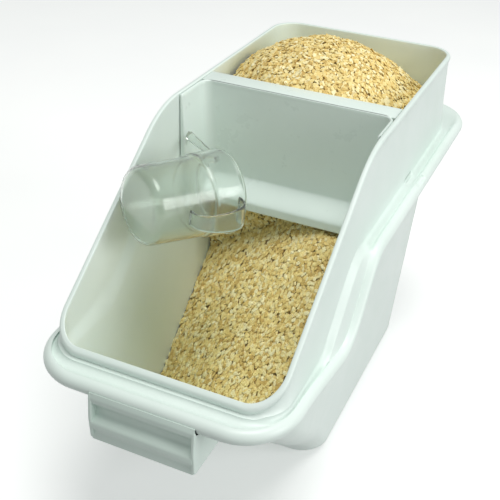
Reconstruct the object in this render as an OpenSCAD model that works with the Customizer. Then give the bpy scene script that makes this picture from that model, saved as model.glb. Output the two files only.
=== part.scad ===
// Shelf ingredient bin: a gravity-fed tub with a lift-out divider and a hanging scoop.
// The shapes are drawn from the rear edge of the rim: Y runs forward below zero, Z is zero at the rim.

/* [Tub] */
// Width over the rim
rim_w = 230; // [200:1:270]
// Length over the rim
rim_len = 542; // [520:1:570]
// Height from the base to the flat part of the rim
bin_h = 396; // [380:1:420]
// Distance from the rear of the rim to the bend where it starts to drop
bend_at = 325; // [315:1:335]
// Angle of the sloping part of the rim
rim_slope = 36; // [33:0.5:38]
// Thickness of the moulded wall
wall = 4; // [3:0.5:4.5]

/* [Ledge] */
// How far the ledge stands out at each side
ledge_side = 24; // [20:1:28]
// How far the ledge stands out in front of the rim
ledge_front = 27; // [24:1:32]
// How far the ledge stands out behind the rim
ledge_rear = 64; // [50:1:70]
// Depth of the ledge below the rim at the rear
ledge_drop = 101; // [95:1:108]
// Further drop of the ledge towards the front
ledge_sweep = 74; // [70:1:78]
// Radius of the ledge's round edge
edge_r = 8; // [7:0.5:8.5]

/* [Divider] */
// Distance from the rear of the rim to the divider's front face
divider_at = 239; // [230:1:248]
// Depth of the divider below the rim
divider_drop = 138; // [130:1:145]
// Thickness of the divider's sheet
divider_t = 3; // [2.5:0.5:3.5]
// Depth of the side wings along the walls
wing_l = 52; // [45:1:56]

/* [Front pull] */
// Half the width of the pull
pull_half = 54; // [48:1:60]
// Height of the pull
pull_h = 45; // [40:1:50]

/* [Scoop] */
// Length of the scoop's cup
cup_l = 98; // [90:1:104]
// Radius at the closed end
cup_r0 = 39; // [36:0.5:41]
// Radius at the mouth
cup_r1 = 42.5; // [41:0.5:44]
// Wall of the clear cup
cup_t = 2.5; // [2:0.25:3]

/* [Hidden] */

rim_half = rim_w / 2;
// Moves a shape from the rim's frame to the middle of the footprint on the floor
shift_y = (rim_len + ledge_front + 4 - ledge_rear) / 2;
bend_tan = 34.5;                         // tangent length of the rim's bend
bend_r = bend_tan / tan(rim_slope / 2);
lip_h = 7;                               // height of the bead under the rim
lip_out = 1.2;
corner_r = 32;                           // rim corners in plan
edge_rise = 2;                           // crown of the ledge's top
low_half = rim_half - 4;                 // lower wall just under the ledge
low_front = rim_len + 6;
low_rear = 4;
base_half = 97.5;
base_front = 352;
base_rear = 37;
base_r = 14;                             // round between wall and base
front_taper = 8;                         // the ledge is narrower at the front
grain_gap = 0.6;
ledge_t = 3.8;                           // thickness of the ledge's plate
skirt_in = 3;                            // inner face of the ledge's turned-down edge

// Steps round each outline
n_edge = 3;
n_corner = 5;
n_side = 20;
n_round = 4;

function mix(a, b, t) = a + (b - a) * t;
function ease(t) = let (u = max(0, min(1, t))) u * u * (3 - 2 * u);
function unit(v) = v / norm(v);

// Height of the rim at a distance y along the tub
function rim_z(y) =
    y > -bend_at + bend_tan ? 0 :
    y > -bend_at - bend_tan * cos(rim_slope)
        ? -bend_r + sqrt(bend_r * bend_r - pow(y + bend_at - bend_tan, 2))
        : (max(y, -rim_len) + bend_at) * tan(rim_slope);
// Height of the ledge's outer edge, and of the valley between wall and ledge
function ledge_z(y) = -ledge_drop - ledge_sweep * ease((-y - bend_at - 2) / 92);
function valley_z(y) = -ledge_drop + 3 - (ledge_sweep - 1) * ease((-y - bend_at - 25) / 105);

// Rounded rectangle, from the middle of the front edge and anticlockwise
function outline(hw, yf, yr, rf, rr) = concat(
    [for (i = [0 : n_edge - 1]) [mix(0, hw - rf, i / n_edge), yf]],
    [for (i = [0 : n_corner - 1]) let (a = -90 + 90 * i / n_corner)
        [hw - rf + rf * cos(a), yf + rf + rf * sin(a)]],
    [for (i = [0 : n_side - 1]) [hw, mix(yf + rf, yr - rr, i / n_side)]],
    [for (i = [0 : n_corner - 1]) let (a = 90 * i / n_corner)
        [hw - rr + rr * cos(a), yr - rr + rr * sin(a)]],
    [for (i = [0 : 2 * n_edge - 1]) [mix(hw - rr, rr - hw, i / (2 * n_edge)), yr]],
    [for (i = [0 : n_corner - 1]) let (a = 90 + 90 * i / n_corner)
        [rr - hw + rr * cos(a), yr - rr + rr * sin(a)]],
    [for (i = [0 : n_side - 1]) [-hw, mix(yr - rr, yf + rf, i / n_side)]],
    [for (i = [0 : n_corner - 1]) let (a = 180 + 90 * i / n_corner)
        [rf - hw + rf * cos(a), yf + rf + rf * sin(a)]],
    [for (i = [0 : n_edge - 1]) [mix(rf - hw, 0, i / n_edge), yf]]);
n_around = 4 * n_edge + 4 * n_corner + 2 * n_side;

// A ring of the wall above the ledge, out mm outside the rim and part of the way down to the valley
function wall_ring(out, part) =
    [for (p = outline(rim_half + out, -rim_len - out, out, corner_r + out, corner_r + out))
        [p.x, p.y, mix(rim_z(p.y) - lip_h, valley_z(p.y), part)]];
// A ring under the rim's lip, down mm below the rim
function lip_ring(out, down) =
    [for (p = outline(rim_half + out, -rim_len - out, out, corner_r + out, corner_r + out))
        [p.x, p.y, rim_z(p.y) - down]];
// A ring of the ledge: part of the way out, then extra mm out and rise mm up
function ledge_ring(part, extra, rise) =
    let (s = mix(8, ledge_side - edge_r, part) + extra,
         f = mix(8, ledge_front - edge_r, part) + extra,
         r = mix(8, ledge_rear - edge_r, part) + extra)
    [for (p = outline(rim_half + s, -rim_len - f, r, corner_r + f, corner_r + s + 8 * part))
        let (narrow = part * front_taper / (rim_half + s) * ease((-p.y - bend_at - 60) / 130))
        [p.x * (1 - narrow), p.y, mix(valley_z(p.y), ledge_z(p.y) + edge_r, part) + rise]];
// A ring of the lower wall, part of the way from the ledge to the base
function low_ring(part) =
    [for (p = outline(mix(low_half, base_half, part), -mix(low_front, base_front, part),
                      -mix(low_rear, base_rear, part), mix(40, 34, part), mix(36, 34, part)))
        [p.x, p.y, mix(ledge_z(p.y) - edge_r - 1, -bin_h + base_r, part)]];
// A ring of the round at the base, at angle a below the horizontal; in front it follows the slope
function base_ring(a) =
    let (c = base_r * (1 - cos(a)), front = base_r * (1.05 * sin(a) + 0.6 * (1 - cos(a))))
    [for (p = outline(base_half - c, -base_front + front, -base_rear - c, 34 - c, 34 - c))
        [p.x, p.y, -bin_h + base_r - base_r * sin(a)]];

// The top of the lower wall, drop mm below the valley, where it meets the ledge's underside
function root_ring(drop) =
    [for (p = outline(low_half, -low_front, -low_rear, 40, 36)) [p.x, p.y, valley_z(p.y) - drop]];

// The outer surface: rim, wall, ledge with its round edge, back under the ledge, lower wall and base
rings = concat(
    [lip_ring(0, 0), lip_ring(lip_out * 0.7, 1.2), lip_ring(lip_out, 4), lip_ring(0, lip_h)],
    [wall_ring(1, 0.35), wall_ring(2.5, 0.7), wall_ring(4.5, 0.93), ledge_ring(0, 0, 1)],
    [ledge_ring(0.55, 0, edge_rise)],
    [for (i = [0 : n_round]) let (a = 90 - 36 * i)
        ledge_ring(1, edge_r * cos(a), edge_r * sin(a) - edge_r)],
    [ledge_ring(1, skirt_in + 0.5, 0.5 - 2 * edge_r), ledge_ring(1, skirt_in, 2 - 2 * edge_r)],
    [ledge_ring(1, skirt_in, -ledge_t - 1.5), ledge_ring(1, skirt_in - 4, -ledge_t - 0.3)],
    [ledge_ring(0, 0, -ledge_t), root_ring(ledge_t + 1.5)],
    [for (i = [0 : 4]) low_ring(i / 4)],
    [for (a = [30 : 30 : 90]) base_ring(a)]);
n_rings = len(rings);

// Direction square to the outer surface at ring k, station j
function surface_normal(k, j) =
    let (up = rings[max(k - 1, 0)][j],
         down = rings[min(k + 1, n_rings - 1)][j],
         back = rings[k][(j + n_around - 1) % n_around],
         next = rings[k][(j + 1) % n_around])
    k == n_rings - 1 ? [0, 0, -1] : unit(cross(down - up, next - back));
// Outline of the inner surface, depth mm inside the outer one; step goes from 0 above to 1 below
function inner_outline(depth, step) =
    outline(mix(rim_half, low_half, step) - depth, depth - rim_len, -depth - low_rear * step,
            corner_r - depth + 4 * step, corner_r - depth + 4 * step);
first_inner = n_rings - 7;
// The inner surface: straight down from the rim, a soft step in to the lower wall, then the offset of the outer rings
function inset_rings(depth) = concat(
    [[for (p = inner_outline(depth, 0)) [p.x, p.y, rim_z(p.y)]]],
    [for (part = [0, 0.7])
        [for (p = inner_outline(depth, 0)) [p.x, p.y, mix(rim_z(p.y) - lip_h, valley_z(p.y), part)]]],
    [for (step = [0.15, 0.5, 0.85, 1])
        [for (p = inner_outline(depth, step)) [p.x, p.y, valley_z(p.y) + 2 - 15 * step]]],
    [for (k = [first_inner : n_rings - 1])
        [for (j = [0 : n_around - 1]) rings[k][j] - depth * surface_normal(k, j)]]);

// Side faces between successive rings of a stack that runs downwards on the outside
function band(a, b) =
    [for (j = [0 : n_around - 1]) let (k = (j + 1) % n_around)
        each [[a * n_around + j, b * n_around + k, b * n_around + j],
              [a * n_around + j, a * n_around + k, b * n_around + k]]];
// Flat end of a stack: a fan from ring r to the point numbered middle, facing up or down
function fan(r, middle, up) =
    [for (j = [0 : n_around - 1]) let (k = (j + 1) % n_around)
        [middle, r * n_around + (up ? k : j), r * n_around + (up ? j : k)]];
mid_y = -(base_front + base_rear) / 2;

module tub_shell() {
    inner = inset_rings(wall);
    n_inner = len(inner);
    points = concat(
        [for (ring = concat(rings, [for (k = [n_inner - 1 : -1 : 0]) inner[k]])) each ring],
        [[0, mid_y, -bin_h], [0, mid_y, wall - bin_h]]);
    last = n_rings + n_inner - 1;
    middle = (last + 1) * n_around;
    polyhedron(points = points, convexity = 8, faces = concat(
        [for (r = [0 : n_rings - 2]) each band(r, r + 1)],
        fan(n_rings - 1, middle, false),
        fan(n_rings, middle + 1, true),
        [for (r = [n_rings : last - 1]) each band(r, r + 1)],
        band(last, 0)));
}

// The space inside the tub, a little clear of its walls
module tub_space() {
    inner = inset_rings(wall + grain_gap);
    n_inner = len(inner);
    points = concat([for (ring = inner) each ring],
                    [[0, -divider_at, 0], [0, mid_y, wall + grain_gap - bin_h]]);
    polyhedron(points = points, convexity = 8, faces = concat(
        fan(0, n_inner * n_around, true),
        [for (r = [0 : n_inner - 2]) each band(r, r + 1)],
        fan(n_inner - 1, n_inner * n_around + 1, false)));
}

module place() translate([0, shift_y, bin_h]) children();

// Shallow slot in the right and left walls, just above the ledge
slot_l = 26;
slot_w = 5;
module side_slot()
    translate([rim_half + 2.2, -180, -ledge_drop + 8])
        rotate([0, 90, 0])
            hull()
                for (s = [-1, 1])
                    translate([0, s * (slot_l - slot_w) / 2, 0])
                        cylinder(h = 8, d = slot_w, $fn = 24);

module bin_body() {
    color([0.90, 0.95, 0.91]) place() difference() {
        tub_shell();
        side_slot();
        mirror([1, 0, 0]) side_slot();
    }
}

// Front pull: a recessed grip plate with a rolled ridge, between two fins that reach the sloping wall
pull_top = -ledge_drop - ledge_sweep - 2 * edge_r + edge_r - 0.4;
pull_front = -rim_len - ledge_front - 4;
pull_low = pull_top - pull_h;
fin_t = 3.5;
ridge_r = 4;
wall_gap = 1.2;
// The sloping front wall's Y at height z
function slope_y(z) =
    -mix(low_front, base_front, (pull_top - z) / (bin_h - base_r + pull_top)) - wall_gap;
module pull_plate()
    rotate([90, 0, 90])
        linear_extrude(height = 2 * pull_half, center = true) {
            polygon([[pull_front + 3.7, pull_top + 9], [pull_front + 3.7, pull_top],
                     [pull_front + 9, pull_top - 0.5], [pull_front + 14, pull_top - 10],
                     [pull_front + 12, pull_top - 19], [pull_front + 7, pull_low + 3],
                     [pull_front + 5, pull_low], [pull_front + 2, pull_low],
                     [pull_front + 1, pull_low + 4], [pull_front + 0.5, pull_top - 24],
                     [pull_front + 8, pull_top - 17], [pull_front + 7.5, pull_top - 10],
                     [pull_front + 2.2, pull_top - 3], [pull_front + 0.9, pull_top + 3],
                     [pull_front + 2, pull_top + 7.5]]);
            translate([pull_front + ridge_r, pull_top - 24])
                circle(r = ridge_r, $fn = 24);
        }
fin_top = -ledge_drop - ledge_sweep - 0.3;
module pull_fin()
    rotate([90, 0, 90])
        linear_extrude(height = fin_t, center = true)
            polygon([[pull_front + 3.7, pull_top], [pull_front + 3.7, pull_top + 9],
                     [pull_front + 2, pull_top + 7.5], [pull_front + 0.9, pull_top + 3],
                     [pull_front + 2, pull_low],
                     [slope_y(pull_low), pull_low], [slope_y(pull_top) - 1, pull_top],
                     [slope_y(pull_top) - 1, fin_top], [pull_front + 10, fin_top],
                     [pull_front + 10, pull_top]]);
module front_pull() {
    color([0.72, 0.80, 0.75]) place() {
        pull_plate();
        for (s = [-1, 1])
            translate([s * (pull_half - fin_t / 2), 0, 0]) pull_fin();
    }
}

// Divider: a bent sheet with a top ledge, a lip at the bottom and a wing along each side wall
panel_top = rim_half - wall - 0.5;
panel_low = panel_top - 10.5;
ledge_deep = 27;
lip_reach = 23;
lip_at = divider_drop - 29;
module divider_sheet()
    rotate([90, 0, 90])
        linear_extrude(height = 2 * panel_top, center = true)
            polygon([[-divider_at + ledge_deep, -1], [-divider_at, -1], [-divider_at, -lip_at],
                     [-divider_at - lip_reach, -lip_at - 19], [-divider_at - lip_reach, -divider_drop],
                     [-divider_at - lip_reach + divider_t, -divider_drop],
                     [-divider_at - lip_reach + divider_t, -lip_at - 20.5],
                     [-divider_at + divider_t, -lip_at - 1], [-divider_at + divider_t, -4],
                     [-divider_at + ledge_deep, -4]]);
module wing_section(depth, outer)
    translate([0, -divider_at + 0.01, 0])
        rotate([90, 0, 0])
            linear_extrude(height = depth)
                polygon([[panel_top, -1], [panel_top - divider_t, -1],
                         [panel_low - divider_t, -divider_drop], [outer, -divider_drop]]);
module divider_panel() {
    color([0.70, 0.78, 0.74]) place() {
        intersection() {
            divider_sheet();
            rotate([90, 0, 0])
                linear_extrude(height = rim_len)
                    polygon([[-panel_top, 0], [panel_top, 0],
                             [panel_low, -divider_drop - 1], [-panel_low, -divider_drop - 1]]);
        }
        for (s = [0, 1])
            mirror([s, 0, 0]) {
                wing_section(wing_l, panel_low);
                translate([0, -wing_l + divider_t, 0]) wing_section(divider_t, panel_low + 3);
            }
    }
}

// Hook: an arm from the left wing that carries the scoop's mouth, with an upturned tip
hook_root = [-103, -283, -50];
hook_knee = [-46, -331.4, -44.6];
hook_tip = [-53.8, -341.6, -41.8];
hook_r = 3;
module scoop_hook() {
    color([0.85, 0.92, 0.88]) place() {
        hull() {
            translate(hook_root) sphere(r = 5, $fn = 20);
            translate(hook_knee) sphere(r = hook_r, $fn = 20);
        }
        hull() {
            translate(hook_knee) sphere(r = hook_r, $fn = 20);
            translate(hook_tip) sphere(r = hook_r, $fn = 20);
        }
    }
}

// Scoop: drawn along its own axis, closed end at zero, then laid in the bay
cup_mouth = [-29.4, -352.8, -66.7];
cup_tilt = 96;
cup_turn = 60.3;
cup_round = 9;
module place_scoop()
    place() translate(cup_mouth) rotate([0, cup_tilt, cup_turn]) translate([0, 0, -cup_l]) children();
function cup_r(z) = mix(cup_r0, cup_r1, z / cup_l);
module cup_profile(inset)
    polygon(concat(
        [[0, inset]],
        [for (a = [-90 : 15 : 0])
            [cup_r0 - cup_round + (cup_round - inset) * cos(a), cup_round + (cup_round - inset) * sin(a)]],
        [[cup_r(cup_l) - inset, cup_l + inset], [0, cup_l + inset]]));
module scoop_cup() {
    color([0.86, 0.93, 0.88, 0.45]) place_scoop()
        rotate_extrude($fn = 96)
            difference() {
                union() {
                    intersection() {
                        cup_profile(0);
                        square([2 * cup_r1, cup_l]);
                    }
                    translate([cup_r1 - 1, cup_l - 4]) square([2.5, 4]);
                }
                cup_profile(cup_t);
            }
}

// Strap handle on the cup's near side, from the barrel to the mouth
strap_from = 34;
strap_out = 24;
strap_w = 26;
strap_t = 3;
strap_sunk = 3;                          // how far its ends reach into the round of the barrel
module strap_shape(inset)
    polygon(concat(
        [[strap_sunk - cup_r(strap_from), strap_from + inset]],
        [for (i = [0 : 12]) let (a = 180 * i / 12)
            [-mix(cup_r(strap_from), cup_r1, i / 12) - (strap_out - inset) * pow(sin(a), 0.6),
             mix(strap_from + inset, cup_l - 6 - inset, (1 - cos(a)) / 2)]],
        [[strap_sunk - cup_r1, cup_l - 6 - inset]]));
module scoop_handle() {
    color([0.86, 0.93, 0.88, 0.45]) place_scoop() difference() {
        rotate([0, 0, 90])
            rotate([90, 0, 0])
                linear_extrude(height = strap_w, center = true)
                    difference() {
                        strap_shape(0);
                        strap_shape(strap_t);
                    }
        rotate_extrude($fn = 96)
            intersection() {
                cup_profile(0);
                square([2 * cup_r1, cup_l]);
            }
    }
}

// Grain behind the divider: the tub's space below a heap, round on top, that runs out at the angle of repose
heap_r = 145;
heap_at = [-10, -126, 26];
heap_rest = 38;                          // slope where the round top ends
heap_edge = 180;
heap_skirt = heap_at.z - heap_r + heap_r * cos(heap_rest)
    - (heap_edge - heap_r * sin(heap_rest)) * tan(heap_rest);
module heap()
    translate([heap_at.x, heap_at.y, 0])
        rotate_extrude($fn = 72)
            polygon(concat(
                [for (i = [0 : 8]) let (a = heap_rest * i / 8)
                    [heap_r * sin(a), heap_at.z - heap_r + heap_r * cos(a)]],
                [[heap_edge, heap_skirt], [heap_edge, -bin_h], [0, -bin_h]]));
module hopper_grain() {
    color([0.80, 0.68, 0.42]) place() intersection() {
        union() {
            tub_space();
            translate([heap_at.x, heap_at.y, -2]) cylinder(h = heap_at.z + 4, r = 84, $fn = 72);
        }
        heap();
        union() {
            translate([-rim_w, -divider_at + ledge_deep + 0.5, -bin_h]) cube([2 * rim_w, rim_len, bin_h + 40]);
            translate([-rim_w, -divider_at + divider_t + 0.4, -bin_h]) cube([2 * rim_w, rim_len, bin_h - 8]);
        }
    }
}

// Grain in the bay: it runs down from the divider's lip, and has been scooped out towards the left wall
run_top = -divider_drop - 6;
run_slope = 38;
dug_from = 60;                           // X where the hollow starts
dug_over = 164;                          // width of the hollow
dug_deep = 97;                           // depth at the left wall
function bay_z(x, y) =
    run_top - tan(run_slope) * max(-y - divider_at - lip_reach, 0)
    - dug_deep * pow(max(0, min(1, (dug_from - x) / dug_over)), 1.3);
bay_x = [-rim_half, -104, -82, -60, -38, -16, 6, 28, 45, dug_from, rim_half];
bay_y = [divider_t + 0.1 - divider_at, -divider_at - lip_reach, -430, -rim_len];
module bay_block() {
    nx = len(bay_x);
    ny = len(bay_y);
    n = nx * ny;
    border = concat(
        [for (j = [0 : nx - 2]) j],
        [for (i = [0 : ny - 2]) i * nx + nx - 1],
        [for (j = [nx - 1 : -1 : 1]) (ny - 1) * nx + j],
        [for (i = [ny - 1 : -1 : 1]) i * nx]);
    polyhedron(
        points = concat([for (y = bay_y) for (x = bay_x) [x, y, max(bay_z(x, y), 4 - bin_h)]],
                        [for (y = bay_y) for (x = bay_x) [x, y, -bin_h]]),
        faces = concat(
            [for (i = [0 : ny - 2]) for (j = [0 : nx - 2]) let (a = i * nx + j, b = a + nx)
                each [[a, a + 1, b + 1], [a, b + 1, b], [n + a, n + b + 1, n + a + 1], [n + a, n + b, n + b + 1]]],
            [for (k = [0 : len(border) - 1]) let (p = border[k], q = border[(k + 1) % len(border)])
                each [[q, p, n + p], [q, n + p, n + q]]]));
}
module bay_grain() {
    color([0.82, 0.70, 0.44]) place() intersection() {
        tub_space();
        bay_block();
    }
}

bin_body();
front_pull();
divider_panel();
scoop_hook();
scoop_cup();
scoop_handle();
hopper_grain();
bay_grain();
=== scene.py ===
import math

import bpy
import numpy as np
from mathutils import Matrix, Vector


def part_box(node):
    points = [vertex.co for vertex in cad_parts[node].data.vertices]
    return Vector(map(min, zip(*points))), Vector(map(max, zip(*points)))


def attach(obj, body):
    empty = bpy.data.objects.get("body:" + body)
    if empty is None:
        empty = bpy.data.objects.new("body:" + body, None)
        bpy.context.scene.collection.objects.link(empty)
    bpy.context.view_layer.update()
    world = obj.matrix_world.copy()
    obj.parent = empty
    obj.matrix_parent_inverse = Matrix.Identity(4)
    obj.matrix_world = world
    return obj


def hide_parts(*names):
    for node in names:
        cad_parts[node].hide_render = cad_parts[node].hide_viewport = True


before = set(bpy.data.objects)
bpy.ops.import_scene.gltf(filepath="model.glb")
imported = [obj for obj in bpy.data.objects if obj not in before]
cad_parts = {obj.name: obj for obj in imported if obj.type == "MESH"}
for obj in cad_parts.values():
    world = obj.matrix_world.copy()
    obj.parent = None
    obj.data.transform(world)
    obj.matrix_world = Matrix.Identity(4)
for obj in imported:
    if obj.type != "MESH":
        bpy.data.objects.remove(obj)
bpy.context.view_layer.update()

# Shapes are worked out in millimetres from the rear edge of the rim: Y runs forward below zero, and Z is
# zero at the rim.
RIM_HALF, RIM_LEN = 115.0, 542.0
BEND_AT, BEND_TAN, RIM_SLOPE = 325.0, 34.5, math.radians(36)
BEND_R = BEND_TAN / math.tan(RIM_SLOPE / 2)
WALL = 4.0
LEDGE_DROP, LEDGE_SWEEP = 101.0, 74.0
LEDGE_SIDE, LEDGE_FRONT, LEDGE_REAR = 23.6, 26.6, 63.6
EDGE_R = 8.0
PULL_OUT = 31.0
SLOT_Y, SLOT_Z = -180.0, -93.0
SLOT_HALF, SLOT_R, SLOT_DEEP = 10.5, 3.0, 2.2       # half length between the round ends, radius and depth
CORNER_R = 32.0
LIP_H = 7.6
LEAN_OUT, COVE_R = 3.5, 7.0                         # the upper wall leans out, then turns into the ledge
PLATE_T = 3.8
LOW_HALF, LOW_FRONT, LOW_REAR = 111.0, 548.0, 4.0
LOW_R_FRONT, LOW_R_REAR, BASE_CORNER = 40.0, 36.0, 34.0
BASE_HALF, BASE_FRONT, BASE_REAR, BASE_R = 97.5, 352.0, 37.0, 14.0
DIVIDER_AT, DIVIDER_DROP, DIVIDER_T, WING_L = 239.0, 138.0, 3.0, 52.0

# The frame says where the rim lies: its height, and the rear of the ledge
BIN_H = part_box("bin_body")[1].z * 1000
SHIFT_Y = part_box("bin_body")[1].y * 1000 - LEDGE_REAR

rng = np.random.default_rng(14)


def in_frame(points):
    """Millimetres from the rim's rear edge, turned into metres in the shared frame."""
    return (np.asarray(points, float) + [0, SHIFT_Y, BIN_H]) / 1000


def mix(a, b, t):
    return a + (b - a) * t


def ease(t):
    """Smooth step from 0 to 1: u squared times (3 - 2u)."""
    u = np.clip(t, 0, 1)
    return u * u * (3 - 2 * u)


# ---------------------------------------------------------------- meshes

def add_piece(name, points, faces, body, material, node, smooth):
    """A finished piece from points in millimetres, which rides on a body and stands for a node."""
    mesh = bpy.data.meshes.new(name)
    mesh.from_pydata(in_frame(points).tolist(), [], faces)
    mesh.update()
    mesh.shade_smooth()
    mesh.set_sharp_from_angle(angle=math.radians(smooth))
    piece = bpy.data.objects.new(name, mesh)
    bpy.context.scene.collection.objects.link(piece)
    mesh.materials.append(material)
    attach(piece, body)
    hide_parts(node)
    return piece


def grid_faces(rows, columns, first=0):
    """Quads between the rows of a grid that closes on itself along its columns."""
    r, c = np.meshgrid(np.arange(rows - 1), np.arange(columns), indexing="ij")
    row, below, beside = r * columns, (r + 1) * columns, (c + 1) % columns
    quads = np.stack([row + c, below + c, below + beside, row + beside], -1)
    return (quads.reshape(-1, 4) + first).tolist()


def closed_stack(rings):
    """Points and faces of a closed skin: rings of points one after another, with a flat face over each end."""
    count, around = rings.shape[:2]
    faces = grid_faces(count, around)
    faces.append(list(range(around)))
    faces.append(list(range(count * around - 1, (count - 1) * around - 1, -1)))
    return rings.reshape(-1, 3), faces


def normals_of(points):
    """Unit normals of a grid of points that closes along its columns: the cross product of its two slopes."""
    down = np.gradient(points, axis=0)
    along = np.roll(points, -1, axis=1) - np.roll(points, 1, axis=1)
    normal = np.cross(down, along)
    return normal / np.linalg.norm(normal, axis=-1, keepdims=True)


def rounded(corners, radii, steps=6):
    """A polyline whose corners become arcs: each arc leaves its edges at radius * tan(half the turn)."""
    corners = np.asarray(corners, float)
    path = [corners[:1]]
    for before, corner, after, radius in zip(corners, corners[1:], corners[2:], radii):
        a, b = before - corner, after - corner
        a, b = a / np.linalg.norm(a), b / np.linalg.norm(b)
        half = math.acos(float(np.clip(a @ b, -1, 1))) / 2
        reach = radius / math.tan(half)
        centre = corner + (a + b) / np.linalg.norm(a + b) * radius / math.sin(half)
        start, end = corner + a * reach - centre, corner + b * reach - centre
        turn = np.linspace(0, 1, steps + 1)[:, None]
        whole = math.pi - 2 * half
        arc = (np.sin((1 - turn) * whole) * start + np.sin(turn * whole) * end) / math.sin(whole)
        path.append(centre + arc)
    path.append(corners[-1:])
    return np.concatenate(path)


def rounded_loop(corners, radii, steps=5):
    """A closed outline with every corner rounded; it starts and ends in the middle of its last edge."""
    corners = np.asarray(corners, float)
    middle = (corners[0] + corners[-1]) / 2
    return rounded(np.concatenate([[middle], corners, [middle]]), radii, steps)[:-1]


def inset_loop(loop, depth):
    """A closed outline in a plane moved inwards along its own normals; it runs anticlockwise."""
    slope = np.roll(loop, -1, axis=0) - np.roll(loop, 1, axis=0)
    slope /= np.linalg.norm(slope, axis=1, keepdims=True)
    return loop + depth * np.stack([-slope[:, 1], slope[:, 0]], -1)


def slab(loop, start, end, edge):
    """An outline in Y and Z carried along X from start to end, with rims rounded to the radius edge."""
    bend = np.radians(np.linspace(0, 90, 4))
    inset = edge * (1 - np.sin(bend))
    along = edge * (1 - np.cos(bend))
    rings = []
    for depth, place in zip([*inset, *inset[::-1]], [*(start + along), *(end - along)[::-1]]):
        flat = inset_loop(loop, depth)
        rings.append(np.stack([np.full(len(flat), place), flat[:, 0], flat[:, 1]], -1))
    return closed_stack(np.array(rings)[::-1])


def joined(*parts):
    """Several skins as one mesh: points one after another, faces renumbered."""
    points, faces, first = [], [], 0
    for part_points, part_faces in parts:
        points.append(part_points)
        faces += [[i + first for i in face] for face in part_faces]
        first += len(part_points)
    return np.concatenate(points), faces


# ---------------------------------------------------------------- tub

def rim_z(y):
    """Level at the rear, then a circular bend of radius BEND_R, then straight down at the rim's slope."""
    bend = -BEND_R + np.sqrt(np.maximum(BEND_R**2 - (y + BEND_AT - BEND_TAN) ** 2, 0))
    slope = (np.maximum(y, -RIM_LEN) + BEND_AT) * math.tan(RIM_SLOPE)
    starts, ends = -BEND_AT + BEND_TAN, -BEND_AT - BEND_TAN * math.cos(RIM_SLOPE)
    return np.where(y > starts, 0, np.where(y > ends, bend, slope))


def ledge_z(y):
    """Height of the ledge's edge: it drops in an S curve where the rim slopes."""
    return -LEDGE_DROP - LEDGE_SWEEP * ease((-y - BEND_AT - 2) / 92)


def valley_z(y):
    """Height of the valley between the wall and the ledge."""
    return -LEDGE_DROP + 3 - (LEDGE_SWEEP - 1) * ease((-y - BEND_AT - 25) / 105)


def fall(y):
    """1 where the ledge's edge hangs well below the valley, so that the wall runs over the shoulder."""
    return ease((valley_z(y) - ledge_z(y) - EDGE_R) / 14)


def stations():
    """Nine runs round a rounded rectangle, from the middle of the front edge: run number and part covered.

    The sides have finer steps near the slot.
    """
    edge, corner, rear = np.arange(12) / 12, np.arange(14) / 14, np.arange(24) / 24
    slot = 1 + (SLOT_Y + CORNER_R) / (RIM_LEN - 2 * CORNER_R)
    side = np.concatenate([np.arange(84) / 84, slot + np.linspace(-0.04, 0.04, 39)])
    side = np.unique(np.round(side, 6))
    back = np.sort(np.append(1 - side[1:], 0))
    runs = [edge, corner, side, corner, rear, corner, back, corner, edge]
    return np.repeat(np.arange(len(runs)), [len(run) for run in runs]), np.concatenate(runs)


RUN, PART = stations()


def outline(half, front, rear, r_front, r_rear):
    """Rounded rectangles, one a row: straight runs are mixes of their ends, corners are quarter circles."""
    half, front, rear, rf, rr = (
        np.reshape(np.asarray(v, float), (-1, 1)) for v in (half, front, rear, r_front, r_rear))
    angle = np.radians(90 * PART)
    c, s = np.cos(angle), np.sin(angle)
    x = [(half - rf) * PART, half - rf + rf * s, half + 0 * PART, half - rr + rr * c,
         mix(half - rr, rr - half, PART), rr - half - rr * s, -half + 0 * PART, rf - half - rf * c,
         (rf - half) * (1 - PART)]
    y = [front + 0 * PART, front + rf - rf * c, mix(front + rf, rear - rr, PART), rear - rr + rr * s,
         rear + 0 * PART, rear - rr + rr * c, mix(rear - rr, front + rf, PART), front + rf - rf * s,
         front + 0 * PART]
    rows = max(np.shape(v)[0] for v in (half, front, rear, rf, rr))
    shape = (rows, len(PART))
    runs = np.broadcast_to(RUN, shape)
    return (np.choose(runs, [np.broadcast_to(v, shape) for v in x]),
            np.choose(runs, [np.broadcast_to(v, shape) for v in y]))


def column(values):
    return np.reshape(np.asarray(values, float), (-1, 1))


def rim_rings(out, height):
    """Rings that keep the rim's plan, out mm outside it; height gives Z from Y."""
    out = column(out)
    x, y = outline(RIM_HALF + out, -RIM_LEN - out, out, CORNER_R + out, CORNER_R + out)
    return np.stack([x, y, height(y)], -1)


def ledge_rings(part, extra, rise):
    """Rings over the ledge, from the cove at the wall (part 0) to the middle of its round edge (part 1)."""
    part, extra, rise = column(part), column(extra), column(rise)
    side, front, rear = (mix(LEAN_OUT + COVE_R, reach - EDGE_R, part) + extra
                         for reach in (LEDGE_SIDE, LEDGE_FRONT, LEDGE_REAR))
    x, y = outline(RIM_HALF + side, -RIM_LEN - front, rear, CORNER_R + front, CORNER_R + side + 8 * part)
    narrow = part * 8 / (RIM_HALF + side) * ease((-y - BEND_AT - 60) / 130)
    z = mix(valley_z(y), ledge_z(y) + EDGE_R, mix(ease(part), part, fall(y))) + rise
    return np.stack([x * (1 - narrow), y, z], -1)


def low_rings(part):
    """Rings of the lower wall, from the ledge down to the round at the base."""
    part = column(part)
    x, y = outline(mix(LOW_HALF, BASE_HALF, part), -mix(LOW_FRONT, BASE_FRONT, part),
                   -mix(LOW_REAR, BASE_REAR, part), mix(LOW_R_FRONT, BASE_CORNER, part),
                   mix(LOW_R_REAR, BASE_CORNER, part))
    return np.stack([x, y, mix(ledge_z(y) - EDGE_R - 1, -BIN_H + BASE_R, part)], -1)


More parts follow.
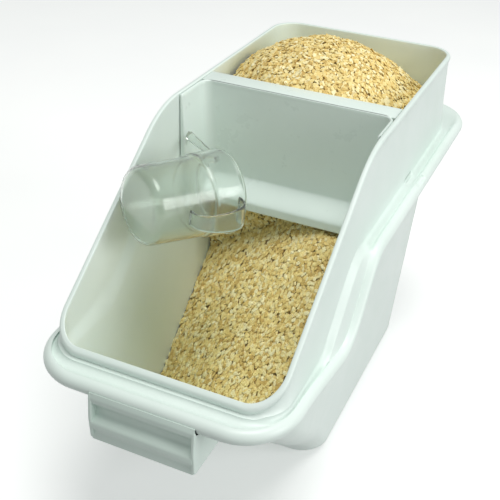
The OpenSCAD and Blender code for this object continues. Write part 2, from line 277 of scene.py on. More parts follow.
def base_rings(degrees, inset=0):
    """Rings of the quarter round at the base, which follows the slope in front."""
    a = np.radians(column(degrees))
    c = BASE_R * (1 - np.cos(a)) + inset
    front = BASE_R * (1.05 * np.sin(a) + 0.6 * (1 - np.cos(a))) + inset
    x, y = outline(BASE_HALF - c, -BASE_FRONT + front, -BASE_REAR - c, BASE_CORNER - c, BASE_CORNER - c)
    return np.stack([x, y, -BIN_H + BASE_R - BASE_R * np.sin(a) + 0 * y], -1)


def step_rings(step):
    """Rings of the inner surface where it comes in from the upper to the lower wall, in a soft S."""
    step = column(step)
    inward = ease(step)
    x, y = outline(mix(RIM_HALF, LOW_HALF, inward) - WALL, WALL - RIM_LEN, -WALL - LOW_REAR * inward,
                   CORNER_R - WALL + 4 * inward, CORNER_R - WALL + 4 * inward)
    upper = mix(rim_z(y) - LIP_H, valley_z(y), 0.7)
    return np.stack([x, y, mix(upper, valley_z(y) - 13, step)], -1)


def cut_slots(points, normals):
    """Presses a shallow round-ended slot into both side walls, with a steep edge round its outline."""
    beyond = np.maximum(np.abs(points[..., 1] - SLOT_Y) - SLOT_HALF, 0)
    away = np.hypot(beyond, points[..., 2] - SLOT_Z)
    depth = SLOT_DEEP * ease(SLOT_R - away)
    return points - normals * depth[..., None]


def tub_skin():
    """Outer rings from the rim down, under the ledge and to the base, then inner rings back up to the rim."""
    bead = np.radians(np.linspace(90, -60, 8))
    upper = 1 - (1 - np.linspace(0.02, 1, 16)) ** 1.7
    upper = np.sort(np.concatenate([upper, np.linspace(0.93, 0.995, 10)]))
    cove = np.radians(np.linspace(0, 90, 13)[1:])
    cove_out = LEAN_OUT + COVE_R * (1 - np.cos(cove))
    edge = np.radians(np.linspace(90, -55, 12))

    def cove_h(y):
        return np.minimum(COVE_R, 0.8 * (rim_z(y) - LIP_H - valley_z(y)))

    outer = np.concatenate([
        rim_rings(-0.4 + 1.6 * np.cos(bead), lambda y: rim_z(y) - column(3.2 - 3.2 * np.sin(bead))),
        rim_rings([0.05], lambda y: rim_z(y) - LIP_H),
        rim_rings(LEAN_OUT * upper**2,
                  lambda y: mix(rim_z(y) - LIP_H, valley_z(y) + cove_h(y), column(upper))),
        rim_rings(cove_out, lambda y: valley_z(y) + cove_h(y) * mix(
            column(1 - np.sin(cove)), column(1 - (1 - np.cos(cove))), fall(y))),
        ledge_rings(np.linspace(0.12, 0.94, 8), 0, 0.0),
        ledge_rings(np.ones(12), EDGE_R * np.cos(edge), EDGE_R * np.sin(edge) - EDGE_R),
        ledge_rings(np.ones(5), [3.6, 3.0, 3.0, 2.2, 0.5], [-15.6, -14.6, -5.4, -4.3, -PLATE_T]),
        ledge_rings(np.linspace(0.9, 0, 5), 0, -PLATE_T),
    ])
    root_x, root_y = outline(
        [LOW_HALF + 1.5, LOW_HALF + 0.3, LOW_HALF], [-LOW_FRONT - 0.5, -LOW_FRONT, -LOW_FRONT],
        [-LOW_REAR + 1.5, -LOW_REAR + 0.3, -LOW_REAR], LOW_R_FRONT, LOW_R_REAR)
    root_z = valley_z(root_y) - column([PLATE_T + 0.2, PLATE_T + 1.2, PLATE_T + 3])
    root = np.stack([root_x, root_y, root_z], -1)
    lower = np.concatenate([low_rings(np.linspace(0, 1, 15)), base_rings(np.linspace(0, 90, 9)[1:])])
    normals = normals_of(np.concatenate([outer, root, lower]))
    count = len(outer)
    outer = cut_slots(outer, normals[:count])
    lower_normals = normals[count + len(root):]
    lower_normals[-1] = [0, 0, -1]
    first_inner = 3
    inner = (lower - WALL * lower_normals)[first_inner:][::-1]
    top = np.radians(np.linspace(0, 90, 5))
    inner_top = np.concatenate([
        step_rings(np.linspace(1, 0, 12)),
        rim_rings(np.full(4, -WALL),
                  lambda y: mix(rim_z(y) - LIP_H, valley_z(y), column([0.55, 0.35, 0.15, 0.0]))),
        rim_rings(-2.8 - 1.2 * np.cos(top), lambda y: rim_z(y) - column(1.6 - 1.6 * np.sin(top))),
    ])
    bottom = base_rings([90], 3)
    floor = base_rings([90], 4.5) + [0, 0, WALL]
    return np.concatenate([outer, root, lower, bottom]), np.concatenate([floor, inner, inner_top])


def make_tub(material):
    outside, inside = tub_skin()
    rings = np.concatenate([outside, inside])
    count, around = rings.shape[:2]
    split = len(outside)
    faces = grid_faces(split, around) + grid_faces(count - split, around, split * around)
    last = (count - 1) * around
    side = np.arange(around)
    beside = (side + 1) % around
    faces += np.stack([last + side, side, beside, last + beside], -1).tolist()
    faces.append(((split - 1) * around + side).tolist()[::-1])
    faces.append((split * around + side).tolist())
    add_piece("tub", rings.reshape(-1, 3), faces, "bin", material, "bin_body", 50)


# ---------------------------------------------------------------- front pull

PULL_HALF, PULL_H, FIN_HALF = 54.0, 45.0, 1.75
PULL_TOP = -LEDGE_DROP - LEDGE_SWEEP - EDGE_R - 0.4
PULL_FRONT = -RIM_LEN - PULL_OUT
PULL_LOW = PULL_TOP - PULL_H


def make_pull(material):
    """A plate with a hollow grip and a rolled ridge, between two fins that reach the sloping wall."""
    front, top, low = PULL_FRONT, PULL_TOP, PULL_LOW
    grip = rounded_loop(
        [[front + 3.6, top + 9.6], [front + 2.0, top + 4], [front + 2.6, top - 2], [front + 8.6, top - 8],
         [front + 8.4, top - 16.5], [front + 0.3, top - 23], [front + 0.3, top - 29], [front + 3.2, top - 35],
         [front + 2.2, low], [front + 5.4, low], [front + 8.5, top - 32], [front + 12.5, top - 20],
         [front + 14, top - 9], [front + 9.2, top - 0.6], [front + 4.3, top - 0.2], [front + 4.2, top + 9.6]],
        [0.2, 8, 6, 6, 5, 4.5, 4.5, 7, 1.3, 1.3, 8, 6, 5, 1, 0.5, 0.2])
    deep = -(LOW_FRONT - (PULL_H + 1) + 1.2)
    wall_at = -LOW_FRONT - 2.2
    fin = rounded_loop(
        [[front + 3.6, top + 9.6], [front + 2.0, top + 4], [front + 0.2, top - 20], [front + 2.0, low],
         [deep, low], [wall_at, top], [wall_at, top + 7.8], [front + 10.2, top + 7.8], [front + 10.2, top + 0.5],
         [front + 6.3, top + 2.2], [front + 4.5, top + 5.6], [front + 4.2, top + 9.6]],
        [0.2, 8, 14, 5, 3, 3, 1, 1, 0.5, 2, 2, 0.2])
    middle = PULL_HALF - FIN_HALF
    parts = [slab(grip, -PULL_HALF + 2, PULL_HALF - 2, 0.3)]
    parts += [slab(fin, side * middle - FIN_HALF, side * middle + FIN_HALF, 1.2) for side in (-1, 1)]
    points, faces = joined(*parts)
    add_piece("front_grip", points, faces, "bin", material, "front_pull", 35)


# ---------------------------------------------------------------- divider

PANEL_TOP, PANEL_LOW = 110.5, 100.0
FLANGE = PANEL_TOP - 0.8
SHELF_DEEP = 27.0
LIP_REACH, LIP_DROP = 23.0, 109.0
LIP_AT = DIVIDER_AT + LIP_REACH


def sheet_path():
    """Middle line of the divider's sheet in plan at its foot: flange, wing, corner, panel, and mirrored."""
    wing = PANEL_LOW - DIVIDER_T / 2
    front, back = -DIVIDER_AT - WING_L + DIVIDER_T / 2, -DIVIDER_AT + DIVIDER_T / 2
    half = rounded([[0, back], [wing, back], [wing, front], [FLANGE, front]], [11, 2], 8)
    across = mix(half[0], half[1], np.linspace(0, 1, 14)[:-1, None])
    half = np.concatenate([across, half[1:]])
    return np.concatenate([(half * [-1, 1])[:0:-1], half])


def divider_sheet():
    """The path at each height: wings lean out at the top, and the panel's foot slopes forward to a lip."""
    path = sheet_path()
    edge = np.array([0, 0.25, 0.75]) * 1.2
    z = column(np.concatenate([-1 - edge, np.linspace(-5, -104, 20),
                               np.linspace(-106, -DIVIDER_DROP + 1.4, 24), -DIVIDER_DROP + edge[::-1]]))
    lean = (PANEL_TOP - PANEL_LOW) * (1 + (z + 1) / (DIVIDER_DROP - 1))
    x, y = path[:, 0][None], path[:, 1][None]
    wing = PANEL_LOW - DIVIDER_T / 2
    on_flange = np.clip((np.abs(x) - wing) / (FLANGE - wing), 0, 1)
    x = x + np.sign(x) * lean * (np.abs(x) / wing) * (1 - on_flange)
    front = path[:, 1].min()
    panel = path[:, 1].max()
    ramp = np.clip((-z - LIP_DROP) / 19, 0, 1)
    ramp = mix(ramp, ease(ramp), 0.55)
    shorten = (panel - LIP_REACH * ramp - front) / (panel - front)
    y = front + (y - front) * shorten
    slope_x, slope_y = np.gradient(x, axis=1), np.gradient(y, axis=1)
    length = np.hypot(slope_x, slope_y)
    to_edge = np.minimum(-1 - z + 0.25, z + DIVIDER_DROP + 0.25)
    thick = DIVIDER_T / 2 * np.sqrt(np.clip(to_edge / 1.2, 0.2, 1))
    nx, ny = -slope_y / length * thick, slope_x / length * thick
    near = np.stack([x + nx, y + ny, z + 0 * x], -1)
    far = np.stack([x - nx, y - ny, z + 0 * x], -1)
    return closed_stack(np.concatenate([near, far[:, ::-1]], axis=1)[::-1])


def make_divider(material):
    """The sheet, and the narrow shelf along its top edge."""
    back, front = -DIVIDER_AT + SHELF_DEEP, -DIVIDER_AT
    shelf = rounded_loop(
        [[front, -1], [front, -6], [front + 3, -6], [front + 4, -4],
         [back - 3, -4], [back - 2.6, -7.5], [back, -7.5], [back, -1]],
        [0.6, 1, 1, 0.6, 0.6, 1, 1, 1.4], 4)
    for name, (points, faces) in (("divider_sheet", divider_sheet()),
                                  ("divider_shelf", slab(shelf, -PANEL_TOP, PANEL_TOP, 0.6))):
        add_piece(name, points, faces, "divider", material, "divider_panel", 35)


def tube(path, radius, around=20):
    """Circles of the given radii swept along a path, square to it, with rounded ends."""
    tangent = np.gradient(path, axis=0)
    tangent /= np.linalg.norm(tangent, axis=1, keepdims=True)
    side = np.cross(tangent, [0, 0, 1.0])
    side /= np.linalg.norm(side, axis=1, keepdims=True)
    up = np.cross(side, tangent)
    a = np.linspace(0, 2 * math.pi, around, endpoint=False)[None, :, None]
    r = radius[:, None, None]
    return closed_stack(path[:, None] + r * (np.cos(a) * side[:, None] + np.sin(a) * up[:, None]))


HOOK_ROOT = (-103.0, -283.0, -50.0)
HOOK_KNEE = (-46.0, -331.4, -44.6)
HOOK_TIP = (-53.8, -341.6, -41.8)
HOOK_R_ROOT, HOOK_R = 5.0, 3.0


def make_hook(material):
    """An arm that tapers from the left wing to a knee, turns, and ends in a round tip in the scoop."""
    path = rounded([HOOK_ROOT, HOOK_KNEE, HOOK_TIP], [3], 8)
    arm = mix(path[0], path[1], np.linspace(0, 1, 16)[:-1, None])
    path = np.concatenate([arm, path[1:]])
    taper = mix(HOOK_R_ROOT, HOOK_R, ease(np.linspace(0, 1, len(arm))))
    cap = np.radians(np.linspace(0, 90, 7)[1:])
    tangent = (path[-1] - path[-2]) / np.linalg.norm(path[-1] - path[-2])
    radius = np.concatenate([taper, np.full(len(path) - len(arm), HOOK_R), HOOK_R * np.cos(cap) + 0.02])
    path = np.concatenate([path, path[-1] + HOOK_R * np.sin(cap)[:, None] * tangent])
    points, faces = tube(path, radius)
    add_piece("hook_arm", points, faces, "divider", material, "scoop_hook", 60)


# ---------------------------------------------------------------- scoop

CUP_L, CUP_T = 98.0, 2.5
CUP_R_END, CUP_R_BARREL, COLLAR_OUT = 39.0, 40.6, 1.6
CUP_ROUND, CUP_FLAT = 9.0, 30.0                     # round between the barrel and the flat of the closed end
STRAP_LOW, STRAP_HIGH, STRAP_REACH = 36.0, 90.0, 21.4
CUP_MOUTH = np.array([-29.4, -352.8, -66.7])
CUP_TILT, CUP_TURN = math.radians(96), math.radians(60.3)
CUP_TO_BAY = np.array(Matrix.Rotation(CUP_TURN, 3, "Z") @ Matrix.Rotation(CUP_TILT, 3, "Y"))


def in_bay(points):
    """From the scoop's own axis, closed end at zero, to its place in the bay."""
    return (points - [0, 0, CUP_L]) @ CUP_TO_BAY.T + CUP_MOUTH


def barrel_r(z):
    """Outer radius of the cup: a slight taper, then a step out to the collar near the mouth."""
    return mix(CUP_R_END, CUP_R_BARREL, z / 66) + COLLAR_OUT * ease((z - 63) / 5)


def make_cup(material):
    """A profile turned round the cup's axis: up the outside from the closed end, then down the inside."""
    turn = np.radians(np.linspace(-90, 0, 9))
    flat = np.array([6, 14, 22, 28])

    def end_profile(inset):
        r = CUP_ROUND - inset
        curve = np.stack([CUP_FLAT + r * np.cos(turn), CUP_ROUND + r * np.sin(turn)], -1)
        return np.concatenate([np.stack([flat, 0 * flat + inset], -1), curve])

    z = np.concatenate([np.linspace(14, 61, 8), np.linspace(63, 68, 7), np.linspace(72, 92, 4)])
    side = np.stack([barrel_r(z), z], -1)
    bead = np.radians(np.linspace(-70, 180, 14))
    rim = np.stack([42.3 + 1.6 * np.cos(bead), CUP_L - 1.9 + 1.85 * np.sin(bead)], -1)
    inside = np.concatenate([side - [CUP_T, 0], [[barrel_r(92.0) - CUP_T + 0.1, 95]]])[::-1]
    profile = np.concatenate([end_profile(0), side, rim, inside, end_profile(CUP_T)[::-1]])
    a = np.linspace(0, 2 * math.pi, 128, endpoint=False)
    r, h = profile[:, :1], profile[:, 1:]
    rings = np.stack([r * np.cos(a), r * np.sin(a), h + 0 * a], -1)
    points, faces = closed_stack(rings[::-1])
    add_piece("scoop_barrel", in_bay(points), faces, "scoop", material, "scoop_cup", 60)


def make_strap(material):
    """A band bent into a loop on the cup's near side; it widens from the barrel towards the mouth."""
    u = np.linspace(0, 1, 33)
    a = math.pi * u
    reach = mix(38.2, 40.2, u) + STRAP_REACH * np.sin(a) ** 0.6
    along = mix(STRAP_LOW, STRAP_HIGH, (1 - np.cos(a)) / 2)
    middle = np.stack([reach, along], -1)
    middle = np.concatenate([[[37.6, STRAP_LOW]], middle[1:-1], [[39.8, STRAP_HIGH]]])
    slope = np.gradient(middle, axis=0)
    slope /= np.linalg.norm(slope, axis=1, keepdims=True)
    normal = np.stack([-slope[:, 1], slope[:, 0]], -1)
    half_w = mix(7.5, 12.8, ease(u * 1.1))[:, None]
    corner = np.radians(np.linspace(0, 360, 20, endpoint=False))[None]
    across = np.sign(np.cos(corner)) * np.abs(np.cos(corner)) ** 0.35 * half_w
    lift = np.sign(np.sin(corner)) * np.abs(np.sin(corner)) ** 0.6 * 1.45
    outwards = -(middle[:, :1] + normal[:, :1] * lift)
    upwards = middle[:, 1:] + normal[:, 1:] * lift
    points, faces = closed_stack(np.stack([across + 0 * lift, outwards, upwards], -1)[::-1])
    add_piece("scoop_strap", in_bay(points), faces, "scoop", material, "scoop_handle", 60)


# ---------------------------------------------------------------- flakes

INSIDE_R = 31.0                                     # corners of the space inside, in plan
REST = math.radians(38)                             # angle of repose
LIP_GAP = 7.5                                       # the bay's slope starts this far under the divider
DUG_DEEP, DUG_FROM, DUG_OVER, DUG_POWER = 97, 60, 164, 1.3
HEAP_R, HEAP_TOP = 145.0, 23.6
HEAP_X, HEAP_Y = -10, -126
RING = 8                                            # points round a flake


def inside(y, z):
    """Half width, front and rear inside the tub at a height: the lower walls lean in towards the base."""
    top = ledge_z(y) - EDGE_R - 1
    down = np.clip((top - z) / (top + BIN_H - BASE_R), 0, 1)
    half = mix(LOW_HALF, BASE_HALF, down) - WALL
    front = np.maximum(-mix(LOW_FRONT, BASE_FRONT, down) + WALL * 1.42, WALL - RIM_LEN)
    return half, front, -mix(LOW_REAR, BASE_REAR, down) - WALL


def wall_clearance(x, y, z):
    """How far a point is inside the tub: the distance to its rounded rectangle at that height."""
    half, front, rear = inside(y, z)
    over_x = np.abs(x) - half + INSIDE_R
    over_y = np.abs(y - (front + rear) / 2) - (rear - front) / 2 + INSIDE_R
    outside = np.hypot(np.maximum(over_x, 0), np.maximum(over_y, 0))
    return INSIDE_R - outside - np.minimum(np.maximum(over_x, over_y), 0)


def bay_z(x, y):
    """Down from the divider's lip at the angle of repose; dug out towards the left wall, with low waves."""
    waves = 1.6 * np.sin(x / 19 + 1) * np.sin(y / 23) + 1.2 * np.sin(x / 9 - y / 13)
    top = -DIVIDER_DROP - LIP_GAP
    run = math.tan(REST) * (-y - LIP_AT)
    dug = DUG_DEEP * np.clip((DUG_FROM - x) / DUG_OVER, 0, 1) ** DUG_POWER
    return np.minimum(top - dug - run, top - np.maximum(run, 0)) + waves * ease((-y - LIP_AT) / 30)


def heap_z(x, y):
    """A heap round on top that runs out at the angle of repose, with low waves, and passes under the shelf."""
    waves = 0.8 * np.sin(x / 17) * np.sin(y / 21 + 2) + 0.6 * np.sin(x / 8 + y / 11)
    away = np.hypot(x - HEAP_X, y - HEAP_Y)
    turn = HEAP_R * math.sin(REST)
    dome = HEAP_TOP - HEAP_R + np.sqrt(HEAP_R**2 - np.minimum(away, turn) ** 2)
    dome = dome - math.tan(REST) * np.maximum(away - turn, 0)
    return np.minimum(dome + waves - 1.4, mix(24, -10.5, ease((-y - 203) / 10)))


def make_bed(name, surface, ys, node, material, depth=14.0, gather=60, draw=0.12):
    """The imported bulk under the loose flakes: their surface over the width inside the tub, and a foot.

    The foot lies depth below the surface and is drawn in towards the station numbered gather.
    """
    across = np.linspace(-1, 1, 90)[None]
    y = column(ys) + 0 * across
    room = y - inside(y, surface(across * LOW_HALF, y) - 18)[1]
    y_end = np.where(room > 3, y, 0).min(axis=0)
    y = mix(ys[0], y_end, np.linspace(0, 1, len(ys))[:, None])
    half, front, rear = inside(y, surface(across * LOW_HALF, y))
    past = np.maximum(np.clip(front + INSIDE_R - y, 0, INSIDE_R),
                      np.clip(y - rear + INSIDE_R + 1, 0, INSIDE_R))
    rounding = INSIDE_R - np.sqrt(np.maximum(INSIDE_R**2 - past**2, 0))
    x = across * (half - rounding - 0.4)
    z = surface(x, y) - 1.5
    rough = 0.5 * np.sin(x * 2.1 + np.sin(y)) * np.sin(y * 1.9 + np.sin(x * 1.3))
    top = np.stack([x, y, z + rough], -1)
    foot = top + [0, 0, -depth]
    foot[..., 1] = mix(foot[..., 1], ys[gather], draw)
    foot[..., 0] *= 1 - draw / 4
    rows, columns = z.shape
    points = np.concatenate([top.reshape(-1, 3), foot.reshape(-1, 3)])
    index = np.arange(rows * columns).reshape(rows, columns)
    quads = np.stack([index[:-1, :-1], index[:-1, 1:], index[1:, 1:], index[1:, :-1]], -1)
    quads = quads.reshape(-1, 4)
    rim = np.concatenate([index[0, :-1], index[:-1, -1], index[-1, :0:-1], index[:0:-1, 0]])
    beyond = np.roll(rim, -1)
    sides = np.stack([rim, beyond, beyond + index.size, rim + index.size], -1)
    faces = quads[:, ::-1].tolist() + (quads + index.size).tolist() + sides.tolist()
    add_piece(name, points, faces, "bin", material, node, 60)


def flake_shapes(count):
    """Thin cupped ovals with a wavy edge: an upper and a lower ring, and a point above and below."""
    a = np.linspace(0, 2 * math.pi, RING, endpoint=False)[None]
    long = rng.uniform(2.0, 3.1, (count, 1))
    short = long * rng.uniform(0.62, 0.92, (count, 1))
    wavy = 1 + rng.normal(0, 0.09, (count, RING))
    x, y = long * np.cos(a) * wavy, short * np.sin(a) * wavy
    cup = rng.uniform(-0.10, 0.22, (count, 1))
    bend = cup * (x**2 - y**2) / 3 + rng.normal(0, 0.12, (count, RING))
    thick = rng.uniform(0.3, 0.5, (count, 1))
    upper, lower = np.stack([x, y, bend + thick], -1), np.stack([x, y, bend - thick], -1)
    middle = np.zeros((count, 1, 3))
    crest = middle + np.stack([0 * thick, 0 * thick, thick + 0.25], -1)
    under = middle - np.stack([0 * thick, 0 * thick, thick + 0.1], -1)
    return np.concatenate([upper, lower, crest, under], axis=1)


def flake_faces():
    """A fan over the upper ring, a band between the rings, and a fan under the lower ring."""
    pairs = [(i, (i + 1) % RING) for i in range(RING)]
    return ([[2 * RING, a, b] for a, b in pairs]
            + [[a, RING + a, RING + b, b] for a, b in pairs]
            + [[2 * RING + 1, RING + b, RING + a] for a, b in pairs])


def turned(points, yaw, tilt, lean):
    """Each flake's points turned about Z, then tipped by tilt towards the direction lean."""
    c, s = np.cos(yaw), np.sin(yaw)
    x, y, z = points[..., 0], points[..., 1], points[..., 2]
    x, y = x * c - y * s, x * s + y * c
    axis = np.stack([-np.sin(lean), np.cos(lean), 0 * lean], -1)
    p = np.stack([x, y, z], -1)
    along = (p * axis).sum(-1, keepdims=True) * axis
    cos, sin = np.cos(tilt)[..., None], np.sin(tilt)[..., None]
    return along + (p - along) * cos + np.cross(axis + 0 * p, p) * sin


def add_flakes(name, points, node, material):
    """One piece from the points of many flakes, each of which gets a tone of its own."""
    count, per_flake = points.shape[:2]
    one = flake_faces()
    faces = [[i + per_flake * k for i in face] for k in range(count) for face in one]
    piece = add_piece(name, points.reshape(-1, 3), faces, "bin", material, node, 50)
    tone = piece.data.attributes.new("tone", "FLOAT", "POINT")
    tone.data.foreach_set("value", np.repeat(rng.uniform(0, 1, count), per_flake))


def calm_by_lip(y):
    """How much flakes tilt: a quarter under the divider, and all of it a little in front of the lip."""
    return mix(0.25, 1, ease((-y - LIP_AT) / 12))


def make_flakes(name, surface, ys, node, material, spacing, lift, calm=None):
    """Loose flakes strewn over a surface: a jittered grid of places, each with a turned, tipped flake."""
    rows = np.arange(ys[0], ys[1], -spacing)
    columns = np.arange(-112, 112, spacing)
    y, x = (v.ravel() for v in np.meshgrid(rows, columns, indexing="ij"))
    x = x + rng.uniform(-0.5, 0.5, x.size) * spacing
    y = y + rng.uniform(-0.5, 0.5, y.size) * spacing
    z = surface(x, y)
    keep = (wall_clearance(x, y, z) > 1.4) & (y < ys[0]) & (y > ys[1])
    x, y, z = x[keep], y[keep], z[keep]
    count = x.size
    step = 0.5
    slope_x, slope_y = (surface(x + step, y) - z) / step, (surface(x, y + step) - z) / step
    yaw = rng.uniform(0, 2 * math.pi, (count, 1))
    tilt = np.abs(rng.normal(0, math.radians(22), (count, 1)))
    lean = rng.uniform(0, 2 * math.pi, (count, 1))
    if calm is not None:
        tilt = tilt * calm(y)[:, None]
    a, b, c = np.moveaxis(turned(flake_shapes(count), yaw, tilt, lean), -1, 0)
    height = lift + rng.uniform(-1.0, 1.1, (count, 1))
    raised = z[:, None] + c + slope_x[:, None] * a + slope_y[:, None] * b + height
    add_flakes(name, np.stack([x[:, None] + a, y[:, None] + b, raised], -1), node, material)


def make_face(material):
    """Flakes on the upright front of the hopper's fill, which shows when the divider is lifted out."""
    spacing = 3.2
    rows, columns = np.arange(-12, -244, -spacing), np.arange(-106, 106, spacing)
    z, x = (v.ravel() for v in np.meshgrid(rows, columns, indexing="ij"))
    x = x + rng.uniform(-spacing / 2, spacing / 2, x.size)
    z = z + rng.uniform(-spacing / 2, spacing / 2, x.size)
    y = 0 * x - DIVIDER_AT + 5.6
    keep = (np.abs(x) < inside(y, z)[0] - 2.5) & (z > bay_z(x, y - 5) - 3)
    x, y, z = (v[keep, None] for v in (x, y, z))
    yaw, lean = (rng.uniform(0, 2 * math.pi, x.shape) for _ in range(2))
    shapes = flake_shapes(x.size)
    tilt = 0.5 * np.abs(rng.normal(0, math.radians(20), x.shape))
    a, b, c = np.moveaxis(turned(shapes, yaw, tilt, lean), -1, 0)
    add_flakes("hopper_face_flakes", np.stack([x + a, y - c, z + b], -1), "hopper_grain", material)


# ---------------------------------------------------------------- materials

class Finish:
    """Builds one node material; every pattern reads Object coordinates."""

    def __init__(self, name):
        self.material = bpy.data.materials.new(name)
        self.material.use_nodes = True
        self.nodes = self.material.node_tree.nodes
        self.links = self.material.node_tree.links
        self.shader = self.nodes["Principled BSDF"]
        self.place = self.nodes.new("ShaderNodeTexCoord").outputs["Object"]

    def set(self, **values):
        for key, value in values.items():
            self.shader.inputs[key.replace("_", " ")].default_value = value

    def noise(self, scale, detail=3.0, rough=0.55):
        node = self.nodes.new("ShaderNodeTexNoise")
        node.inputs["Scale"].default_value = scale
        node.inputs["Detail"].default_value = detail
        node.inputs["Roughness"].default_value = rough
        self.links.new(self.place, node.inputs["Vector"])
        return node.outputs["Fac"]

    def cells(self, scale):
        node = self.nodes.new("ShaderNodeTexVoronoi")
        node.inputs["Scale"].default_value = scale
        self.links.new(self.place, node.inputs["Vector"])
        return node.outputs["Distance"]

    def ramp(self, value, *stops):
        node = self.nodes.new("ShaderNodeValToRGB")
        band = node.color_ramp
        while len(band.elements) < len(stops):
            band.elements.new(0.5)
        for element, (at, colour) in zip(band.elements, stops):
            element.position = at
            element.color = colour if len(colour) == 4 else (*colour, 1)
        self.links.new(value, node.inputs["Fac"])
        return node.outputs["Color"]

    def range(self, value, low, high, from_low=0.0, from_high=1.0):
        node = self.nodes.new("ShaderNodeMapRange")
        for key, number in (("From Min", from_low), ("From Max", from_high),
                            ("To Min", low), ("To Max", high)):
            node.inputs[key].default_value = number
        self.links.new(value, node.inputs["Value"])
        return node.outputs["Result"]

    def math(self, operation, a, b=0.0):
        node = self.nodes.new("ShaderNodeMath")
        node.operation = operation
        for socket, value in zip(node.inputs, (a, b)):
            if isinstance(value, float):
                socket.default_value = value
            else:
                self.links.new(value, socket)
        return node.outputs[0]

    def darken(self, value, mask, colour):
        """Mixes a colour towards a darker one where the mask is 1."""
        blend = self.nodes.new("ShaderNodeMix")
        blend.data_type = "RGBA"
        self.links.new(mask, blend.inputs["Factor"])
        self.links.new(value, blend.inputs[6])
        blend.inputs[7].default_value = (*colour, 1)
        return blend.outputs[2]

    def bump(self, height, strength, distance):
        node = self.nodes.new("ShaderNodeBump")
        node.inputs["Strength"].default_value = strength
        node.inputs["Distance"].default_value = distance
        self.links.new(height, node.inputs["Height"])
        previous = self.shader.inputs["Normal"].links
        if previous:
            self.links.new(previous[0].from_socket, node.inputs["Normal"])
        self.links.new(node.outputs["Normal"], self.shader.inputs["Normal"])

    def into(self, value, socket):
        self.links.new(value, self.shader.inputs[socket])


def painted_slot_shade(finish):
    """Mask of the painted shade on the floor of the side slots, from the distance to each slot's middle line and
    to the outer wall.
    """
    math_node = finish.math
    parts = finish.nodes.new("ShaderNodeSeparateXYZ")
    finish.links.new(finish.place, parts.inputs[0])
    x, y, z = (parts.outputs[axis] for axis in "XYZ")
    along = math_node("ABSOLUTE", math_node("SUBTRACT", y, (SLOT_Y + SHIFT_Y) / 1000))
    beyond = math_node("MAXIMUM", math_node("SUBTRACT", along, SLOT_HALF / 1000), 0.0)
    above = math_node("SUBTRACT", z, (SLOT_Z + BIN_H) / 1000)
    square = math_node("ADD", math_node("POWER", beyond, 2.0), math_node("POWER", above, 2.0))
    away = math_node("SQRT", square)
    wall_x = (RIM_HALF + 1.5) / 1000
    side = math_node("ABSOLUTE", math_node("SUBTRACT", math_node("ABSOLUTE", x), wall_x))
    on_wall = math_node("LESS_THAN", side, 0.0045)
    return math_node("MULTIPLY", finish.range(away, 0.55, 0.0, 0.0016, SLOT_R / 1000), on_wall)


def moulded_plastic(name, pale, deep, rough_low, rough_high, slots=False):
    """Satin moulded polyethylene: faint cloudy tint, fine moulding texture, and gloss worn unevenly.

    With slots, painted shade darkens the floor of the side slots.
    """
    finish = Finish(name)
    colour = finish.ramp(finish.noise(9, 4), (0.35, deep), (0.65, pale))
    if slots:
        # painted shade: the slot floors are darkened towards this colour
        colour = finish.darken(colour, painted_slot_shade(finish), (0.25, 0.33, 0.29))
    finish.into(colour, "Base Color")
    finish.into(finish.range(finish.noise(38, 5, 0.65), rough_low, rough_high, 0.35, 0.65), "Roughness")
    finish.set(IOR=1.5, Specular_IOR_Level=0.5)
    finish.bump(finish.noise(900, 2), 0.10, 0.0004)
    finish.bump(finish.noise(30, 3), 0.06, 0.002)
    return finish.material


def clear_plastic():
    """Clear moulded polycarbonate, faintly green, with soft haze marks."""
    finish = Finish("clear_polycarbonate")
    finish.set(Base_Color=(0.89, 0.94, 0.90, 1), IOR=1.42, Transmission_Weight=0.95)
    finish.into(finish.range(finish.noise(60, 4), 0.08, 0.17, 0.35, 0.7), "Roughness")
    finish.bump(finish.noise(22, 2), 0.05, 0.002)
    return finish.material


def flake_finish():
    """Toasted flakes: each has its own tone from golden brown to pale straw, with fine specks of bran."""
    finish = Finish("loose_flakes")
    tone = finish.nodes.new("ShaderNodeAttribute")
    tone.attribute_name = "tone"
    straw = ((0.62, 0.42, 0.13), (0.84, 0.64, 0.24), (0.96, 0.80, 0.36), (1.0, 0.92, 0.58))
    base = finish.ramp(tone.outputs["Fac"], *zip((0.0, 0.18, 0.6, 1.0), straw))
    specks = finish.ramp(finish.noise(520, 3), (0.30, (0.55, 0.42, 0.26)), (0.48, (1, 1, 1)))
    blend = finish.nodes.new("ShaderNodeMix")
    blend.data_type, blend.blend_type = "RGBA", "MULTIPLY"
    blend.inputs["Factor"].default_value = 0.75
    finish.links.new(base, blend.inputs[6])
    finish.links.new(specks, blend.inputs[7])
    finish.into(blend.outputs[2], "Base Color")
    finish.set(Roughness=0.72, IOR=1.45, Specular_IOR_Level=0.35)
    finish.bump(finish.noise(700, 3), 0.35, 0.0004)
    return finish.material


def bed_finish():
    """The bulk between the flakes, painted dark brown as the shade in the gaps, broken up by cells of flake
    size.
    """
    finish = Finish("flake_bed_painted_shade")
    # painted shade: the brown stands for the shade between the flakes
    colour = finish.ramp(finish.cells(210), (0.05, (0.50, 0.35, 0.15)), (0.5, (0.26, 0.165, 0.06)))
    finish.into(colour, "Base Color")
    finish.set(Roughness=0.85)
    finish.bump(finish.cells(210), 0.6, 0.002)
    return finish.material


# ---------------------------------------------------------------- studio

CAMERA_AT = (0.31202, -0.81180, 0.75248)
CAMERA_LENS = 63.815
AZIMUTH, ELEVATION, ROLL = (math.radians(v) for v in (23.3253, 31.9048, 2.3367))


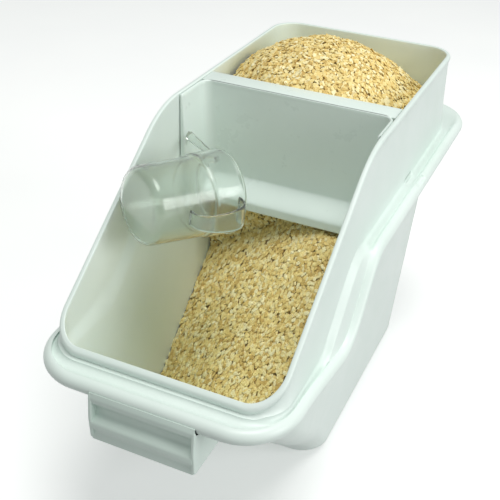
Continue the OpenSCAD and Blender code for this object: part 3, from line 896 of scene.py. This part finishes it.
def set_camera():
    """Stands at the azimuth, looks down by the elevation, and rolls about its own axis."""
    level = math.cos(ELEVATION)
    back = Vector((math.sin(AZIMUTH) * level, -math.cos(AZIMUTH) * level, math.sin(ELEVATION)))
    right = (-back).cross(Vector((0, 0, 1))).normalized()
    up = right.cross(-back)
    turned_right = math.cos(ROLL) * right + math.sin(ROLL) * up
    turned_up = -math.sin(ROLL) * right + math.cos(ROLL) * up
    data = bpy.data.cameras.new("camera")
    data.lens, data.sensor_width = CAMERA_LENS, 36
    camera = bpy.data.objects.new("camera", data)
    turn = Matrix((turned_right, turned_up, back)).transposed().to_4x4()
    camera.matrix_world = Matrix.Translation(CAMERA_AT) @ turn
    bpy.context.scene.collection.objects.link(camera)
    bpy.context.scene.camera = camera


def add_light(name, place, target, size, power, colour):
    data = bpy.data.lights.new(name, "AREA")
    data.shape, data.size, data.energy, data.color = "DISK", size, power, colour
    light = bpy.data.objects.new(name, data)
    aim = Vector(target) - Vector(place)
    light.matrix_world = Matrix.Translation(place) @ aim.to_track_quat("-Z", "Y").to_matrix().to_4x4()
    bpy.context.scene.collection.objects.link(light)


def set_studio():
    """A pale floor, an even sky, a broad soft light overhead and a weaker one low on the right."""
    scene = bpy.context.scene
    scene.view_settings.view_transform = "Standard"
    world = bpy.data.worlds.new("studio")
    world.use_nodes = True
    background = world.node_tree.nodes["Background"]
    background.inputs["Color"].default_value = (0.96, 1.0, 0.98, 1)
    background.inputs["Strength"].default_value = 0.34
    scene.world = world
    target = (0, 0, 0.25)
    add_light("overhead", (0.5, -0.3, 3.2), target, 2.0, 58, (1.0, 1.0, 0.98))
    add_light("side", (3.2, -0.4, 1.4), target, 1.8, 42, (1.0, 1.0, 1.0))
    finish = Finish("floor_paper")
    paper = finish.ramp(finish.noise(3, 2), (0.3, (0.93, 0.93, 0.94)), (0.7, (0.96, 0.96, 0.96)))
    finish.into(paper, "Base Color")
    finish.set(Roughness=0.9, Emission_Color=(0.97, 1.0, 0.98, 1), Emission_Strength=0.27)
    half = 6.0
    corners = [(-half, -half, 0), (half, -half, 0), (half, half, 0), (-half, half, 0)]
    mesh = bpy.data.meshes.new("floor")
    mesh.from_pydata(corners, [], [(0, 1, 2, 3)])
    mesh.materials.append(finish.material)
    floor = bpy.data.objects.new("floor", mesh)
    scene.collection.objects.link(floor)
    floor.visible_diffuse = False


def build():
    tub = moulded_plastic("tub_plastic", (0.79, 0.88, 0.84), (0.75, 0.85, 0.80), 0.30, 0.42, slots=True)
    # the grip's plastic is a darker copy of the tub's: painted shade on the pull's front
    grip = moulded_plastic("grip_plastic_painted_shade", (0.72, 0.83, 0.77), (0.68, 0.80, 0.74), 0.30, 0.42)
    # the divider's plastic is a paler copy of the tub's: painted light on the panel inside the tub
    sheet = moulded_plastic("divider_plastic", (0.80, 0.90, 0.85), (0.77, 0.87, 0.82), 0.26, 0.38)
    clear, loose, bed = clear_plastic(), flake_finish(), bed_finish()
    make_tub(tub)
    make_pull(grip)
    make_divider(sheet)
    make_hook(clear)
    make_cup(clear)
    make_strap(clear)
    bay_span, hopper_span = (-236.5, -450), (-8, -234)
    make_bed("bay_bed", bay_z, np.linspace(*bay_span, 120), "bay_grain", bed)
    make_bed("hopper_bed", heap_z, np.linspace(-8, -232, 120), "hopper_grain", bed,
             depth=236.0, gather=-1, draw=0.22)
    make_flakes("bay_flakes_under", bay_z, bay_span, "bay_grain", loose, 3.3, -1.5, calm_by_lip)
    make_flakes("bay_flakes", bay_z, bay_span, "bay_grain", loose, 3.2, 0.7, calm_by_lip)
    make_flakes("hopper_flakes_under", heap_z, hopper_span, "hopper_grain", loose, 3.3, -1.5)
    make_flakes("hopper_flakes", heap_z, hopper_span, "hopper_grain", loose, 3.2, 0.6)
    make_face(loose)


set_camera()
set_studio()
build()
